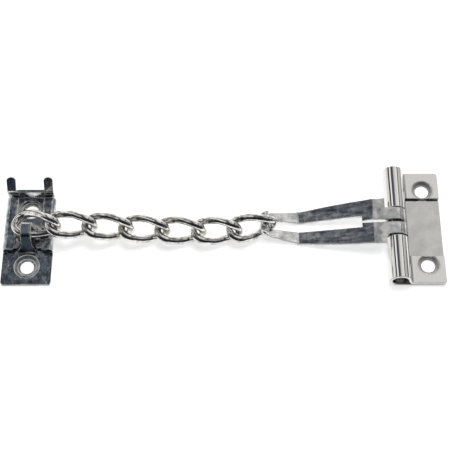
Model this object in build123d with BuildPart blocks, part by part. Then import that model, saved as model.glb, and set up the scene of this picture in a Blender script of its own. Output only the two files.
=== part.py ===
# Door chain: hinge plate, swing arm, seven twisted links, chain slide and guide plate, laid flat as it
# lies on a table.  X runs along the chain to the right, Y up the plates, Z out of the table.
# The origin is the middle of the hinge plate's two screw holes, on the back face.
import os
from math import asin, atan2, cos, degrees, hypot, pi, radians, sin, sqrt, tan

from build123d import *

# Hinge plate, one folded sheet
sheet = 1.2
plate_length = 49.0
screw_spread = 33.0
screw_radius = 2.75
sink_radius = 4.3
axis_to_screws = 11.75
axis_to_edge = 18.3
pin_radius = 3.0
pin_play = 0.05
pin_recess = 3.0
fold_gap = 0.1
fold_lean = 15.0
fold_bend = 1.6
tab_width = 11.8
knuckle_gap = 12.2
plate_corner = 1.2
notch_play = 0.5

# Swing arm, one strap
arm_knuckle = 11.4
arm_slit = 1.2
arm_width = 19.5
arm_mid_width = 16.3
arm_tip_width = 10.4
arm_nose_width = 6.6
arm_nose_length = 4.2
arm_shoulder_play = 0.5
arm_lead = 9.5
arm_lead_lean = 3.0
arm_wrap_end = 148.0
arm_bend_reach = 38.7
arm_bend_radius = 4.0
tip_reach = 52.3
tip_height = 5.7
tip_radius = 1.9
tip_play = 0.4
tip_wrap = 278.0
slot_reach = 13.8
slot_wide = 4.9
slot_narrow = 4.0
slot_run_out = 1.7

# Chain of twisted links
wire = 3.0
link_pitch = 14.2
link_width = 11.4
link_cap = 3.1
link_nose = 0.46
link_waist = 1.04
bend_share = 0.92
link_play = 0.6
butt_gap = 0.3
twist_left = -5.0
twist_right = 85.0
first_link_rise = 13.0
first_link_sink = 1.15
last_link_roll = 10.0
table_gap = 0.15
lay_offset = [-1.05, -2.95, -2.8, -2.9, -3.2, -3.6, -3.4, -0.2]

# Guide plate, one folded sheet
guide_sheet = 1.4
guide_width = 19.5
guide_foot = 19.9
guide_spread = 24.6
guide_sink = 3.8
rail_start = -6.2
rail_end = 16.9
rail_opening = 9.9
rail_corner = 2.0
rail_bend = 1.0
guide_corner = 1.0

# Chain slide, one folded sheet
slide_play = 0.15
slide_side_play = 0.2
slide_start = -5.0
slide_window = 4.4
flange_width = 18.3
flange_top = 7.5
flange_play = 0.55
horn_width = 3.6
horn_length = 6.0
horn_lean = 40.0
staple_width = 4.1
staple_root = 7.4
staple_front = -2.6
staple_back = 2.7
staple_height = 10.4
staple_tip_gap = 0.3
staple_to_link = 3.7
guide_below_link = 2.6

os.makedirs("parts", exist_ok=True)

bore_radius = pin_radius + pin_play
barrel_mid = bore_radius + sheet / 2
barrel_radius = bore_radius + sheet
axis_x = -axis_to_screws
axis_z = barrel_radius
half_plate = plate_length / 2
half_gap = knuckle_gap / 2
hinge_side = Plane(origin=(axis_x, 0, 0), x_dir=(1, 0, 0), z_dir=(0, -1, 0))


def span(centre, width):
    """The side view plane moved to the far end of a span along Y."""
    return hinge_side.offset(-(centre + width / 2))


# Where the rolled sheet leaves the barrel and turns into the return tab
lean = radians(fold_lean)
tab_mid = sheet + fold_gap + sheet / 2
leave_x = barrel_mid * cos(lean)
leave_z = axis_z + barrel_mid * sin(lean)
foot_x = leave_x + (leave_z - tab_mid) * sin(lean) / cos(lean)
tab_top = 2 * sheet + fold_gap

with BuildPart() as hinge_plate:
    with BuildSketch():
        with Locations((axis_x + axis_to_edge / 2, 0)):
            Rectangle(axis_to_edge, plate_length)
        with Locations((axis_x, 0)):
            Rectangle(2 * (barrel_radius + notch_play), knuckle_gap, mode=Mode.SUBTRACT)
    extrude(amount=sheet)
    knuckle_width = half_plate - half_gap
    for side in (-1, 1):
        with BuildSketch(span(side * (half_gap + knuckle_width / 2), knuckle_width)):
            with BuildLine():
                CenterArc((0, axis_z), barrel_mid, fold_lean, 270 - fold_lean)
            trace(line_width=sheet)
        extrude(amount=knuckle_width)
        with BuildSketch(span(side * (half_plate - tab_width / 2), tab_width)):
            with BuildLine():
                FilletPolyline(
                    (leave_x, leave_z),
                    (foot_x, tab_mid),
                    (axis_to_edge, tab_mid),
                    radius=fold_bend,
                )
            trace(line_width=sheet)
        extrude(amount=tab_width)
    outer = hinge_plate.edges().filter_by(Axis.Z).group_by(Axis.X)[-1]
    fillet(outer.sort_by(Axis.Y)[0:2] + outer.sort_by(Axis.Y)[-2:], radius=plate_corner)
    with BuildSketch(Plane.XY.offset(tab_top)):
        with Locations((0, -screw_spread / 2), (0, screw_spread / 2)):
            Circle(sink_radius)
    extrude(amount=-(sink_radius - screw_radius), taper=45, mode=Mode.SUBTRACT)
    with BuildSketch():
        with Locations((0, -screw_spread / 2), (0, screw_spread / 2)):
            Circle(screw_radius)
    extrude(amount=tab_top, mode=Mode.SUBTRACT)
hinge_plate.part.label = "hinge_plate"
export_step(hinge_plate.part, "parts/hinge_plate.step")

with BuildPart() as hinge_pin:
    pin_length = plate_length - 2 * pin_recess
    with BuildSketch(span(0, pin_length)):
        with Locations((0, axis_z)):
            Circle(pin_radius)
    extrude(amount=pin_length)
    chamfer(hinge_pin.edges().filter_by(GeomType.CIRCLE), length=0.4)
hinge_pin.part.label = "hinge_pin"
export_step(hinge_pin.part, "parts/hinge_pin.step")

# Side view of the strap: rolled knuckle, level lead, long fall to the bend, short rise to the rolled tip
top_angle = radians(90 + arm_lead_lean)
lead_x = barrel_mid * cos(top_angle)
lead_z = axis_z + barrel_mid * sin(top_angle)
knee_x = lead_x - arm_lead
knee_z = lead_z - arm_lead * sin(radians(arm_lead_lean)) / cos(radians(arm_lead_lean))
bend_z = sheet / 2 + table_gap
tip_mid = tip_radius - sheet / 2
rise = tip_height - bend_z
run = tip_reach - arm_bend_reach
tip_slope = atan2(rise, run) - asin(tip_mid / hypot(rise, run))
touch_angle = 270 - degrees(tip_slope)
touch_x = -tip_reach + tip_mid * cos(radians(touch_angle))
touch_z = tip_height + tip_mid * sin(radians(touch_angle))
shoulder_x = -(barrel_radius + arm_shoulder_play)
tip_x = -(tip_reach + tip_radius)
nose_x = tip_x + arm_nose_length
link_right = tip_reach - tip_radius - tip_play - wire / 2

with BuildPart() as swing_arm:
    with BuildSketch(span(0, arm_width)):
        with BuildLine():
            CenterArc((0, axis_z), barrel_mid, arm_wrap_end, 450 + arm_lead_lean - arm_wrap_end)
            FilletPolyline(
                (lead_x, lead_z),
                (knee_x, knee_z),
                (-arm_bend_reach, bend_z),
                (touch_x, touch_z),
                radius=arm_bend_radius,
            )
            CenterArc((-tip_reach, tip_height), tip_mid, touch_angle, -tip_wrap)
        trace(line_width=sheet)
    extrude(amount=arm_width)
    with BuildSketch(Plane(origin=(axis_x, 0, 0))):
        with BuildLine():
            Polyline(
                (barrel_radius + 1, arm_knuckle / 2),
                (shoulder_x, arm_knuckle / 2),
                (shoulder_x, arm_width / 2),
                (-arm_lead, arm_width / 2),
            )
            ThreePointArc(
                (-arm_lead, arm_width / 2),
                ((nose_x - arm_lead) / 2, arm_mid_width / 2),
                (nose_x, arm_tip_width / 2),
            )
            Polyline(
                (nose_x, arm_tip_width / 2),
                (tip_x, arm_nose_width / 2),
                (tip_x, -arm_nose_width / 2),
                (nose_x, -arm_tip_width / 2),
            )
            ThreePointArc(
                (nose_x, -arm_tip_width / 2),
                ((nose_x - arm_lead) / 2, -arm_mid_width / 2),
                (-arm_lead, -arm_width / 2),
            )
            Polyline(
                (-arm_lead, -arm_width / 2),
                (shoulder_x, -arm_width / 2),
                (shoulder_x, -arm_knuckle / 2),
                (barrel_radius + 1, -arm_knuckle / 2),
                (barrel_radius + 1, arm_knuckle / 2),
            )
        make_face()
        with BuildLine():
            Polyline(
                (-slot_reach, slot_wide / 2),
                (-arm_bend_reach, slot_narrow / 2),
                (-link_right, slot_narrow / 2),
            )
            ThreePointArc(
                (-link_right, slot_narrow / 2),
                (-link_right - slot_narrow / 2, 0),
                (-link_right, -slot_narrow / 2),
            )
            Polyline(
                (-link_right, -slot_narrow / 2),
                (-arm_bend_reach, -slot_narrow / 2),
                (-slot_reach, -slot_wide / 2),
                (-slot_reach, slot_wide / 2),
            )
        make_face(mode=Mode.SUBTRACT)
        with Locations(((barrel_radius + 2 - slot_reach) / 2, 0)):
            Rectangle(barrel_radius + 2 + slot_reach, arm_slit, mode=Mode.SUBTRACT)
    extrude(amount=3 * barrel_radius, mode=Mode.INTERSECT)
    # the slot runs on a little under the rolled tip, so that the last link can pass
    with BuildSketch(Plane(origin=(axis_x - link_right - slot_narrow / 2 - slot_run_out / 2, 0, 0))):
        Rectangle(slot_run_out + slot_narrow, slot_narrow)
    extrude(amount=tip_height - tip_mid + sheet / 2, mode=Mode.SUBTRACT)
swing_arm.part.label = "swing_arm"
export_step(swing_arm.part, "parts/swing_arm.step")

# Guide plate and slide heights, then the lay of the chain from the rolled tip to the slide
slide_low = guide_sheet + slide_play
slide_high = slide_low + sheet
rail_low = slide_high + slide_play
rail_top = rail_low + guide_sheet
flat_height = link_width / 2 + table_gap
half_link = (link_pitch + wire + link_play) / 2
first_mid = rail_top + link_width / 2 - first_link_sink
first_drop = link_pitch / 2 * sin(radians(first_link_rise))
first_high = first_mid + first_drop
lay_height = [
    first_mid - first_drop,
    first_high,
    first_high - (first_high - flat_height) * 0.34,
    first_high - (first_high - flat_height) * 0.75,
    flat_height,
    flat_height,
    flat_height,
    flat_height,
]
joints = [(axis_x - link_right - (wire + link_play) / 2, lay_offset[7], lay_height[7])]
for step in range(6, -1, -1):
    right_x, right_y, right_z = joints[0]
    drop_y = right_y - lay_offset[step]
    drop_z = right_z - lay_height[step]
    joints.insert(0, (right_x - sqrt(link_pitch**2 - drop_y**2 - drop_z**2), lay_offset[step], lay_height[step]))


def twisted(along, across):
    """A point of the flat link outline, carried round by the twist of the link."""
    share = 0.5 + 0.5 * sin(pi / 2 * along / half_link)
    turn = radians(twist_left + (twist_right - twist_left) * share)
    return Vector(along, across * cos(turn), across * sin(turn))


# Corners of the bent wire, from one butt end under the right bow round to the other
half_width = (link_width - wire) / 2
nose = half_width * link_nose
hip = half_link - link_cap
corners = [
    twisted(hip, -half_width),
    twisted(0, -half_width * link_waist),
    twisted(-hip, -half_width),
    twisted(-half_link, -nose),
    twisted(-half_link, nose),
    twisted(-hip, half_width),
    twisted(0, half_width * link_waist),
    twisted(hip, half_width),
    twisted(half_link, nose),
    twisted(half_link, -nose),
]
butt = (corners[-1] + corners[0]) * 0.5
butt_step = (corners[0] - corners[-1]).normalized() * (butt_gap / 2)
route = [butt + butt_step, *corners, butt - butt_step]
bend_radii = []
for k in range(1, len(route) - 1):
    before = route[k] - route[k - 1]
    after = route[k + 1] - route[k]
    spare = min(before.length if k == 1 else before.length / 2, after.length if k == 10 else after.length / 2)
    bend_radii.append(bend_share * spare / tan(radians(before.get_angle(after)) / 2))


for number in range(1, 8):
    left = Vector(*joints[number - 1])
    right = Vector(*joints[number])
    ahead = (right - left).normalized()
    level = Vector(0, 0, 1).cross(ahead).normalized()
    roll = last_link_roll if number == 7 else 0.0
    level = level.rotate(Axis((0, 0, 0), ahead), roll)
    link_plane = Plane(origin=(left + right) * 0.5, x_dir=ahead, z_dir=ahead.cross(level))
    with BuildPart() as link:
        with BuildLine() as bent_wire:
            FilletPolyline(*[link_plane.from_local_coords(p) for p in route], radius=bend_radii)
        with BuildSketch(Plane(origin=bent_wire.line @ 0, z_dir=bent_wire.line % 0)):
            Circle(wire / 2)
        sweep(path=bent_wire.line)
    link.part.label = f"link_{number}"
    export_step(link.part, f"parts/link_{number}.step")

first_link = (Vector(*joints[0]) + Vector(*joints[1])) * 0.5
guide_x = first_link.X - staple_to_link
guide_y = first_link.Y - guide_below_link
guide_face = Plane(origin=(guide_x, guide_y, 0))
guide_end = Plane(origin=(guide_x, guide_y, 0), x_dir=(1, 0, 0), z_dir=(0, -1, 0))
guide_side = Plane(origin=(guide_x, guide_y, 0), x_dir=(0, 1, 0), z_dir=(1, 0, 0))

with BuildPart() as guide_plate:
    base_length = rail_end + guide_foot
    with BuildSketch(guide_face):
        with Locations((0, (rail_end - guide_foot) / 2)):
            Rectangle(guide_width, base_length)
        # the base is straight along the rails, where its edge is the outside of the bend
        with Locations((0, (rail_end + rail_start) / 2)):
            Rectangle(guide_width, rail_end - rail_start, mode=Mode.SUBTRACT)
    extrude(amount=guide_sheet)
    wall_x = guide_width / 2 - guide_sheet / 2
    with BuildSketch(guide_end.offset(-rail_end)):
        with BuildLine():
            FilletPolyline(
                (-rail_opening / 2, rail_top - guide_sheet / 2),
                (-wall_x, rail_top - guide_sheet / 2),
                (-wall_x, guide_sheet / 2),
                (wall_x, guide_sheet / 2),
                (wall_x, rail_top - guide_sheet / 2),
                (rail_opening / 2, rail_top - guide_sheet / 2),
                radius=rail_bend,
            )
        trace(line_width=guide_sheet)
    extrude(amount=rail_end - rail_start)
    upright = guide_plate.edges().filter_by(Axis.Z)
    lips = [e for e in upright if e.center().Z > rail_low and abs(e.center().Y - guide_y - rail_start) < 0.1]
    fillet([e for e in lips if abs(e.center().X - guide_x) < rail_opening / 2 + 0.1], radius=rail_corner)
    feet = [e for e in guide_plate.edges().filter_by(Axis.Z) if e.center().Y < guide_y - guide_foot + 0.1]
    fillet(feet, radius=guide_corner)
    with BuildSketch(guide_face.offset(guide_sheet)):
        with Locations((0, -guide_spread / 2), (0, guide_spread / 2)):
            Circle(guide_sink)
    extrude(amount=-(guide_sink - screw_radius), taper=45, mode=Mode.SUBTRACT)
    with BuildSketch(guide_face):
        with Locations((0, -guide_spread / 2), (0, guide_spread / 2)):
            Circle(screw_radius)
    extrude(amount=guide_sheet, mode=Mode.SUBTRACT)
guide_plate.part.label = "guide_plate"
export_step(guide_plate.part, "parts/guide_plate.step")

slide_width = guide_width - 2 * guide_sheet - 2 * slide_side_play
flange_mid = rail_end + flange_play + sheet / 2
slide_mid = slide_low + sheet / 2
staple_mid = staple_height - sheet / 2
horn_x = (flange_width - horn_width) / 2
horn_rise = horn_length * cos(radians(horn_lean))
horn_back = horn_length * sin(radians(horn_lean))

with BuildPart() as chain_slide:
    # staple: a tongue bent up from the lower end of the slide and closed down behind the link
    with BuildSketch(guide_side.offset(-staple_root / 2)):
        with BuildLine():
            FilletPolyline(
                (staple_back, slide_high + staple_tip_gap),
                (staple_back, staple_mid),
                (staple_front, staple_mid),
                (slide_start - 1.4, slide_mid),
                (slide_start + 2 * sheet, slide_mid),
                radius=sheet,
            )
        trace(line_width=sheet)
    extrude(amount=staple_root)
    with BuildSketch(guide_end.offset(-rail_end)):
        with BuildLine():
            Polyline(
                (-staple_root / 2, 0),
                (-staple_root / 2, slide_high + 0.5),
                (-staple_width / 2, slide_high + 3.0),
                (-staple_width / 2, staple_height + 1),
                (staple_width / 2, staple_height + 1),
                (staple_width / 2, slide_high + 3.0),
                (staple_root / 2, slide_high + 0.5),
                (staple_root / 2, 0),
                close=True,
            )
        make_face()
    extrude(amount=rail_end - 2 * rail_start, mode=Mode.INTERSECT)
    # plate and top flange
    with BuildSketch(guide_side.offset(-slide_width / 2)):
        with BuildLine():
            FilletPolyline(
                (slide_start, slide_mid),
                (flange_mid, slide_mid),
                (flange_mid, flange_top),
                radius=sheet,
            )
        trace(line_width=sheet)
    extrude(amount=slide_width)
    with BuildSketch(guide_end.offset(-(flange_mid + sheet / 2))):
        with Locations((0, (rail_low + flange_top) / 2)):
            Rectangle(flange_width, flange_top - rail_low)
    extrude(amount=sheet)
    # two horns leaning back from the flange
    for side in (-1, 1):
        with BuildSketch(guide_side.offset(side * horn_x - horn_width / 2)):
            with BuildLine():
                FilletPolyline(
                    (flange_mid, rail_low + sheet),
                    (flange_mid, flange_top),
                    (flange_mid + horn_back, flange_top + horn_rise),
                    radius=sheet,
                )
            trace(line_width=sheet)
        extrude(amount=horn_width)
    with BuildSketch(guide_face):
        with Locations((0, guide_spread / 2)):
            Circle(slide_window)
    extrude(amount=rail_top, mode=Mode.SUBTRACT)
chain_slide.part.label = "chain_slide"
export_step(chain_slide.part, "parts/chain_slide.step")
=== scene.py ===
import math

import bmesh
import bpy
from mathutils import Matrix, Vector


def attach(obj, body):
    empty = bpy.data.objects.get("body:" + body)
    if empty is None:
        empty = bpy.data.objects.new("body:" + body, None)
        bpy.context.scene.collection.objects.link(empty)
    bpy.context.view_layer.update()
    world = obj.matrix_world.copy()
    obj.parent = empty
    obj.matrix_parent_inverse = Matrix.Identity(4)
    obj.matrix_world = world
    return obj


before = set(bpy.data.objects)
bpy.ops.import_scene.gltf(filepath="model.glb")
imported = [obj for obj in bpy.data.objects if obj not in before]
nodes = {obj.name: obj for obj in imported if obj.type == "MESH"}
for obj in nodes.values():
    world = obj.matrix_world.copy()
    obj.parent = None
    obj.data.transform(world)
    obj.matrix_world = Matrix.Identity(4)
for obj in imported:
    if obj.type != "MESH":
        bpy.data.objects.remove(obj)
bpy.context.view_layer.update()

scene = bpy.context.scene
scene.view_settings.view_transform = "Standard"


def put(tree, kind, values, **settings):
    """A new node with its settings, and with values for its inputs by name or number. A value that is an
    output of another node is linked."""
    made = tree.nodes.new(kind)
    for key, value in settings.items():
        setattr(made, key, value)
    for key, value in values.items():
        if isinstance(value, bpy.types.NodeSocket):
            tree.links.new(value, made.inputs[key])
        else:
            made.inputs[key].default_value = value
    return made


def plating(name, dark, light, patch, shine, wave, lines):
    """Nickel plate on pressed steel. dark and light are the two ends of its colour, patch the scale of its
    stains, shine the roughness range, wave the scale and depth of its unevenness, and lines the stretch of
    its rolling lines along X, Y and Z with their depth."""
    mat = bpy.data.materials.new(name)
    mat.use_nodes = True
    tree = mat.node_tree
    shader = tree.nodes["Principled BSDF"]
    shader.inputs["Metallic"].default_value = 1.0
    place = tree.nodes.new("ShaderNodeTexCoord").outputs["Object"]

    stain = put(tree, "ShaderNodeTexNoise", {
        "Vector": place, "Scale": patch, "Detail": 6.0, "Roughness": 0.6,
    })
    colour = put(tree, "ShaderNodeValToRGB", {"Fac": stain.outputs["Fac"]})
    dark_stop, light_stop = colour.color_ramp.elements
    dark_stop.position, dark_stop.color = 0.34, (*dark, 1)
    light_stop.position, light_stop.color = 0.60, (*light, 1)
    tree.links.new(colour.outputs["Color"], shader.inputs["Base Color"])

    stretch, line_depth = lines
    along = put(tree, "ShaderNodeMapping", {"Vector": place, "Scale": stretch})
    grain = put(tree, "ShaderNodeTexNoise", {"Vector": along.outputs["Vector"], "Scale": 1.0, "Detail": 4.0})
    smooth, rough = shine
    polish = put(tree, "ShaderNodeMapRange", {
        "Value": grain.outputs["Fac"], "From Min": 0.3, "From Max": 0.7, "To Min": smooth, "To Max": rough,
    })
    tree.links.new(polish.outputs["Result"], shader.inputs["Roughness"])

    wave_scale, wave_depth = wave
    uneven = put(tree, "ShaderNodeTexNoise", {"Vector": place, "Scale": wave_scale, "Detail": 2.5})
    broad = put(tree, "ShaderNodeBump", {
        "Height": uneven.outputs["Fac"], "Strength": 1.0, "Distance": wave_depth,
    })
    fine = put(tree, "ShaderNodeBump", {
        "Height": grain.outputs["Fac"], "Strength": 0.6, "Distance": line_depth,
        "Normal": broad.outputs["Normal"],
    })
    tree.links.new(fine.outputs["Normal"], shader.inputs["Normal"])
    return mat


def edge_highlight(name, dark, light):
    """Lighter, rougher and less metallic plating for the edge chamfers, which paints a highlight along the
    edges.
    """
    mat = plating(
        name, dark, light, patch=400.0, shine=(0.30, 0.45), wave=(300.0, 0.00005),
        lines=((500.0, 500.0, 500.0), 0.00001),
    )
    mat.node_tree.nodes["Principled BSDF"].inputs["Metallic"].default_value = 0.45
    return mat


def dull_round(mat, centre, radius, rough):
    """Rougher metal within a radius of a point in plan, as in a countersink, but not on the underside."""
    underside = 0.00005
    tree = mat.node_tree
    shader = tree.nodes["Principled BSDF"]
    before = shader.inputs["Roughness"].links[0].from_socket
    place = tree.nodes.new("ShaderNodeTexCoord").outputs["Object"]
    flat = put(tree, "ShaderNodeVectorMath", {0: place, 1: (1, 1, 0)}, operation="MULTIPLY")
    away = put(
        tree, "ShaderNodeVectorMath", {0: flat.outputs["Vector"], 1: (*centre, 0)}, operation="DISTANCE",
    )
    outside = put(tree, "ShaderNodeMath", {0: away.outputs["Value"], 1: radius}, operation="GREATER_THAN")
    split = put(tree, "ShaderNodeSeparateXYZ", {"Vector": place})
    below = put(tree, "ShaderNodeMath", {0: split.outputs["Z"], 1: underside}, operation="LESS_THAN")
    apart = put(
        tree, "ShaderNodeMath", {0: outside.outputs["Value"], 1: below.outputs["Value"]}, operation="MAXIMUM",
    )
    cone = put(tree, "ShaderNodeMix", {"Factor": apart.outputs["Value"], "A": rough, "B": before})
    tree.links.new(cone.outputs["Result"], shader.inputs["Roughness"])


def painted_light(mat, tone, near, above):
    """Painted light or shade: another tone laid into the base colour, in full from the first Y value of near
    towards -Y and from the second Z value of above upwards. It fades in from the other value of each pair."""
    tree = mat.node_tree
    shader = tree.nodes["Principled BSDF"]
    before = shader.inputs["Base Color"].links[0].from_socket
    place = tree.nodes.new("ShaderNodeTexCoord").outputs["Object"]
    split = put(tree, "ShaderNodeSeparateXYZ", {"Vector": place})
    front = put(tree, "ShaderNodeMapRange", {
        "Value": split.outputs["Y"], "From Min": near[1], "From Max": near[0],
    })
    high = put(tree, "ShaderNodeMapRange", {
        "Value": split.outputs["Z"], "From Min": above[0], "From Max": above[1],
    })
    both = put(
        tree, "ShaderNodeMath", {0: front.outputs["Result"], 1: high.outputs["Result"]}, operation="MULTIPLY",
    )
    mix = put(
        tree, "ShaderNodeMix", {"Factor": both.outputs["Value"], "A": before, "B": (*tone, 1)},
        data_type="RGBA",
    )
    tree.links.new(mix.outputs["Result"], shader.inputs["Base Color"])


def dress(obj, mat, edge=None, rim=None, measure="ABSOLUTE", cut=None):
    """The node takes the material, and where edge is given, a cut if there is one and narrow chamfers of
    that width with the rim's material. measure is the way in which Blender measures the width."""
    same_point = 0.00002
    same_plane = math.radians(0.3)
    sharp = math.radians(28)
    if not obj.material_slots:
        obj.data.materials.append(mat)
    for slot in obj.material_slots:
        slot.material = mat
    if edge is None:
        return
    weld = obj.modifiers.new("weld", "WELD")
    weld.merge_threshold = same_point
    flat = obj.modifiers.new("flat", "DECIMATE")
    flat.decimate_type = "DISSOLVE"
    flat.angle_limit = same_plane
    if cut:
        hollow = obj.modifiers.new("hollow", "BOOLEAN")
        hollow.object = cut
    bevel = obj.modifiers.new("edge_chamfer", "BEVEL")
    bevel.offset_type = measure
    bevel.use_clamp_overlap = False
    bevel.width = edge
    bevel.segments = 1
    bevel.limit_method = "ANGLE"
    bevel.angle_limit = sharp
    bevel.harden_normals = True
    if rim:
        obj.data.materials.append(rim)
        bevel.material = len(obj.material_slots) - 1
    even = obj.modifiers.new("even", "WEIGHTED_NORMAL")
    even.keep_sharp = False


# Hinge plate on the right: clean folded sheet, light and a little warm, with rolling lines along the
# knuckles. Its edge chamfers carry a painted highlight, the raised tabs and barrels above its lower middle
# panel are painted lighter as a painted highlight, and the countersinks of its two screw holes are dull.
hinge_hole_y = 0.0165
hinge_mat = plating(
    "hinge_nickel", dark=(0.53, 0.53, 0.525), light=(0.645, 0.645, 0.64), patch=160.0, shine=(0.03, 0.09),
    wave=(90.0, 0.00008), lines=((1500.0, 40.0, 1500.0), 0.000007),
)
for hole_y in (-hinge_hole_y, hinge_hole_y):
    dull_round(hinge_mat, centre=(0.0, hole_y), radius=0.0043, rough=0.55)
# Painted highlight: all of the plate above its lower middle panel, the raised tabs and most of the barrels,
# is painted a lighter tone.
painted_light(hinge_mat, tone=(0.76, 0.755, 0.74), near=(0.03, 0.04), above=(0.0015, 0.0022))
# Painted highlight: a lighter rim material on the edge chamfers.
hinge_rim = edge_highlight("hinge_rim", dark=(0.62, 0.61, 0.585), light=(0.84, 0.825, 0.79))
dress(nodes["hinge_plate"], hinge_mat, edge=0.00030, rim=hinge_rim, measure="OFFSET")

# Hinge pin, seen only at the ends of the barrels: drawn steel, dull and dark.
pin_mat = plating(
    "pin_steel", dark=(0.16, 0.15, 0.14), light=(0.30, 0.29, 0.27), patch=300.0, shine=(0.30, 0.50),
    wave=(120.0, 0.00005), lines=((900.0, 40.0, 900.0), 0.00001),
)
dress(nodes["hinge_pin"], pin_mat)

# Swing arm: plating with wear, stains and long scratches down both legs, and a soft painted highlight on its
# edge chamfers.
arm_mat = plating(
    "arm_nickel", dark=(0.35, 0.37, 0.40), light=(0.73, 0.725, 0.715), patch=260.0, shine=(0.10, 0.34),
    wave=(170.0, 0.00022), lines=((60.0, 700.0, 700.0), 0.000009),
)
# Painted highlight: a lighter rim material on the edge chamfers.
arm_rim = edge_highlight("arm_rim", dark=(0.5, 0.5, 0.49), light=(0.74, 0.725, 0.69))
dress(nodes["swing_arm"], arm_mat, edge=0.00030, rim=arm_rim)

# Chain links: plated wire, bright and a little warm, with drawing lines and small dull spots.
link_count = 7
wire_mat = plating(
    "wire_nickel", dark=(0.36, 0.345, 0.325), light=(0.86, 0.84, 0.80), patch=380.0, shine=(0.07, 0.26),
    wave=(220.0, 0.00018), lines=((700.0, 700.0, 700.0), 0.00002),
)
for number in range(1, link_count + 1):
    dress(nodes["link_%d" % number], wire_mat)

# Chain slide: thin bright sheet, dented where it was bent, with a painted highlight on its edge chamfers. Its
# staple's front leg is painted near black as a painted dark reflection, and its two horns are cut round at
# the top by a pair of bays.
horn_middles = (-0.164517, -0.149817)
horn_round = 0.00198
horn_base = Vector((0.0, 0.0160209, 0.0105645))
horn_up = Vector((0.0, 0.6427876, 0.7660444))
horn_out = Vector((0.0, 0.7660444, -0.6427876))
bay_half_width = 0.0026
bay_half_depth = 0.0012
bay_low, bay_high = 0.0005, 0.0026
arc_start, arc_turn, arc_steps = 165.5, 151.0, 24
slide_mat = plating(
    "slide_nickel", dark=(0.50, 0.50, 0.51), light=(0.80, 0.79, 0.77), patch=300.0, shine=(0.08, 0.28),
    wave=(240.0, 0.00024), lines=((600.0, 80.0, 600.0), 0.00002),
)
# Painted dark reflection: the staple's front leg is painted near black.
painted_light(slide_mat, tone=(0.03, 0.04, 0.055), near=(-0.0079, -0.0072), above=(0.0028, 0.0034))
# Painted highlight: a lighter rim material on the edge chamfers.
slide_rim = edge_highlight("slide_rim", dark=(0.52, 0.51, 0.48), light=(0.8, 0.78, 0.74))
outline = [
    (bay_half_width, bay_low), (bay_half_width, bay_high),
    (-bay_half_width, bay_high), (-bay_half_width, bay_low),
]
for step in range(arc_steps + 1):
    turn = math.radians(arc_start - step * arc_turn / arc_steps)
    outline.append((horn_round * math.cos(turn), horn_round * math.sin(turn)))
bays = bmesh.new()
for horn_x in horn_middles:
    caps = [
        [
            bays.verts.new(horn_base + Vector((horn_x + across, 0, 0)) + rise * horn_up + side * horn_out)
            for across, rise in outline
        ]
        for side in (-bay_half_depth, bay_half_depth)
    ]
    for cap in caps:
        bays.faces.new(cap)
    for i in range(len(outline)):
        j = (i + 1) % len(outline)
        bays.faces.new((caps[0][i], caps[0][j], caps[1][j], caps[1][i]))
bmesh.ops.recalc_face_normals(bays, faces=bays.faces)
bay_mesh = bpy.data.meshes.new("horn_bays")
bays.to_mesh(bay_mesh)
bays.free()
bay = bpy.data.objects.new("horn_bays", bay_mesh)
scene.collection.objects.link(bay)
bay.hide_render = True
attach(bay, "chain_slide")
dress(nodes["chain_slide"], slide_mat, edge=0.00024, rim=slide_rim, cut=bay)

# Guide plate on the left: the sheet with the most wear, hammered looking and stained, with a painted
# highlight on its edge chamfers and painted shade on its front edge. Its lower screw hole is sunk wide and
# shallow.
guide_hole = (-0.157167, -0.0169)
sink_low_radius, sink_high_radius = 0.0035, 0.0060
sink_depth = 0.0014
sink_middle_z = 0.0012
guide_mat = plating(
    "guide_nickel", dark=(0.20, 0.23, 0.26), light=(0.64, 0.65, 0.66), patch=420.0, shine=(0.08, 0.30),
    wave=(420.0, 0.00026), lines=((500.0, 380.0, 500.0), 0.000014),
)
dull_round(guide_mat, centre=guide_hole, radius=0.0051, rough=0.45)
# Painted shade: the front edge of the plate is painted near black.
painted_light(guide_mat, tone=(0.05, 0.06, 0.08), near=(-0.02442, -0.02430), above=(-0.002, -0.001))
# Painted highlight: a nearly white rim material on the edge chamfers.
guide_rim = edge_highlight("guide_rim", dark=(0.70, 0.68, 0.64), light=(0.95, 0.93, 0.89))
bpy.ops.mesh.primitive_cone_add(
    vertices=64, radius1=sink_low_radius, radius2=sink_high_radius, depth=sink_depth,
    location=(*guide_hole, sink_middle_z),
)
sink = bpy.context.object
sink.name = "guide_sink"
sink.hide_render = True
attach(sink, "guide_plate")
dress(nodes["guide_plate"], guide_mat, edge=0.00030, rim=guide_rim, cut=sink)

# Floor: a plain white sheet of card, just below the part.
card_size = 0.9
card_place = (-0.08, 0.05, -0.0001)
bpy.ops.mesh.primitive_plane_add(size=card_size, location=card_place)
floor = bpy.context.object
floor.name = "floor"
floor_mat = bpy.data.materials.new("white_card")
floor_mat.use_nodes = True
card = floor_mat.node_tree.nodes["Principled BSDF"]
card.inputs["Base Color"].default_value = (0.9, 0.9, 0.9, 1)
card.inputs["Roughness"].default_value = 0.9
card.inputs["Specular IOR Level"].default_value = 0.0
card.inputs["Emission Color"].default_value = (1, 1, 1, 1)
card.inputs["Emission Strength"].default_value = 0.55
floor.data.materials.append(floor_mat)

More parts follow.
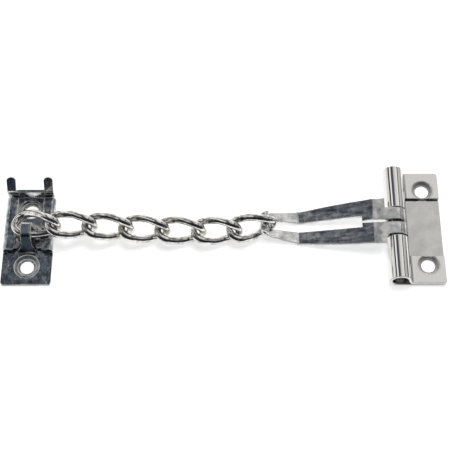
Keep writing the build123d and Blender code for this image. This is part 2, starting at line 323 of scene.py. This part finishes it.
# Studio room: light and dark bands from left to right, which streak the barrels and the wire, dark in front
# and a bright wall at the back. One broad soft lamp above makes the shadow on the card.
bands = [
    (0.00, (0.97, 0.95, 0.92)), (0.10, (0.90, 0.88, 0.85)), (0.14, (0.03, 0.03, 0.03)),
    (0.19, (0.06, 0.055, 0.05)), (0.215, (1.30, 1.27, 1.22)), (0.29, (0.80, 0.78, 0.74)),
    (0.325, (0.04, 0.05, 0.07)), (0.43, (0.10, 0.125, 0.16)), (0.465, (0.19, 0.205, 0.225)),
    (0.49, (0.10, 0.10, 0.11)), (0.515, (0.72, 0.715, 0.70)), (0.70, (0.86, 0.845, 0.82)),
    (0.765, (1.25, 1.22, 1.17)), (0.79, (0.04, 0.04, 0.05)), (0.82, (0.05, 0.05, 0.06)),
    (0.845, (0.66, 0.65, 0.63)), (0.92, (0.60, 0.59, 0.57)), (0.95, (0.12, 0.12, 0.13)),
    (1.00, (0.95, 0.93, 0.90)),
]
front_tone = (0.02, 0.03, 0.045, 1)
front_from, front_to = -0.35, 0.20
wall_tone = (0.95, 0.93, 0.90, 1)
wall_from, wall_to = 0.74, 0.88
lamp_side = 0.5
lamp_power = 4.0
lamp_place = Vector((-0.02, 0.15, 1.0))
lamp_aim = Vector((-0.08, 0, 0))
world = bpy.data.worlds.new("studio")
scene.world = world
world.use_nodes = True
room = world.node_tree
ways = room.nodes.new("ShaderNodeTexCoord").outputs["Generated"]
way = put(room, "ShaderNodeSeparateXYZ", {"Vector": ways})
left_to_right = put(room, "ShaderNodeMapRange", {
    "Value": way.outputs["X"], "From Min": -1.0, "From Max": 1.0,
})
walls = put(room, "ShaderNodeValToRGB", {"Fac": left_to_right.outputs["Result"]})
ramp = walls.color_ramp
for stop, (at, tone) in zip(ramp.elements, (bands[0], bands[-1])):
    stop.position, stop.color = at, (*tone, 1)
for at, tone in bands[1:-1]:
    ramp.elements.new(at).color = (*tone, 1)
from_front = put(
    room, "ShaderNodeMapRange", {"Value": way.outputs["Y"], "From Min": front_from, "From Max": front_to},
    interpolation_type="SMOOTHSTEP",
)
front_mix = put(
    room, "ShaderNodeMix",
    {"Factor": from_front.outputs["Result"], "A": front_tone, "B": walls.outputs["Color"]},
    data_type="RGBA",
)
to_back = put(
    room, "ShaderNodeMapRange", {"Value": way.outputs["Y"], "From Min": wall_from, "From Max": wall_to},
    interpolation_type="SMOOTHSTEP",
)
back_mix = put(
    room, "ShaderNodeMix",
    {"Factor": to_back.outputs["Result"], "A": front_mix.outputs["Result"], "B": wall_tone},
    data_type="RGBA",
)
room.links.new(back_mix.outputs["Result"], room.nodes["Background"].inputs["Color"])

lamp_data = bpy.data.lights.new("soft_lamp", "AREA")
lamp_data.shape = "RECTANGLE"
lamp_data.size = lamp_side
lamp_data.size_y = lamp_side
lamp_data.energy = lamp_power
lamp = bpy.data.objects.new("soft_lamp", lamp_data)
scene.collection.objects.link(lamp)
lamp.location = lamp_place
lamp.rotation_euler = (lamp_aim - lamp_place).to_track_quat("-Z", "Y").to_euler()
lamp.visible_glossy = False

# Camera: above the table on the near side, as in the photograph. Its distance and its focal length, which is
# given in pixels of a picture of that width, were fitted to the photograph.
picture_width = 452.0
focal_pixels = 1095.0
sensor_width = 36.0
aim = Vector((-0.0792, 0.0016, 0.0))
lift = math.radians(63.0)
distance = 0.438
cam_data = bpy.data.cameras.new("camera")
cam_data.sensor_width = sensor_width
cam_data.lens = focal_pixels / picture_width * sensor_width
cam = bpy.data.objects.new("camera", cam_data)
scene.collection.objects.link(cam)
cam.location = aim + distance * Vector((0, -math.cos(lift), math.sin(lift)))
cam.rotation_euler = (aim - cam.location).to_track_quat("-Z", "Y").to_euler()
scene.camera = cam
